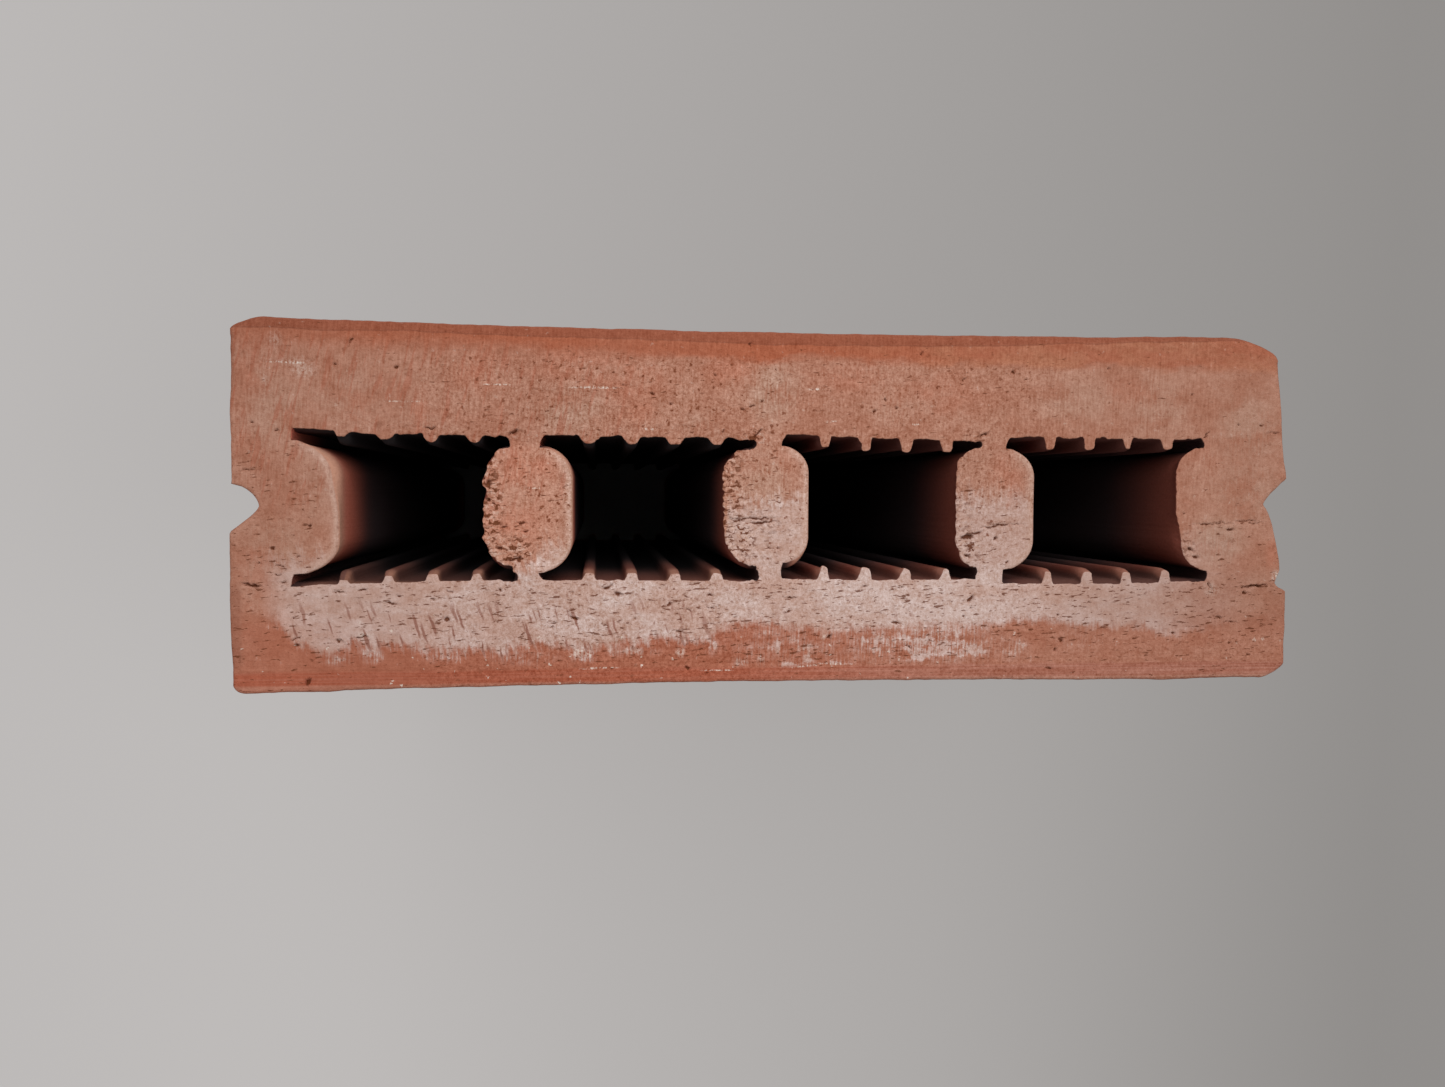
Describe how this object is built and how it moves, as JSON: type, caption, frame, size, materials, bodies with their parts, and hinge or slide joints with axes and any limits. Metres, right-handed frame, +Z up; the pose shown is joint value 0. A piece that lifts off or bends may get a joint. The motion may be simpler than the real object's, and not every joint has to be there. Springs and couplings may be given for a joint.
{
  "type": "terracotta double floor tile",
  "caption": "Hollow extruded terracotta block that is split along its thin-necked webs into floor tiles with ribbed keying backs; open cells and V-notched sides.",
  "frame": {"origin": "centre of the block's bounding box at the wire-cut end that it stands on", "axes": "+Z up the extrusion, +X across the row of cells, +Y through the upper walking face"},
  "size_m": [0.2, 0.0668, 0.2],
  "materials": {
    "terracotta": "matte"
  },
  "bodies": {
    "root": {"double_tile": "terracotta"}
  },
  "joints": []
}
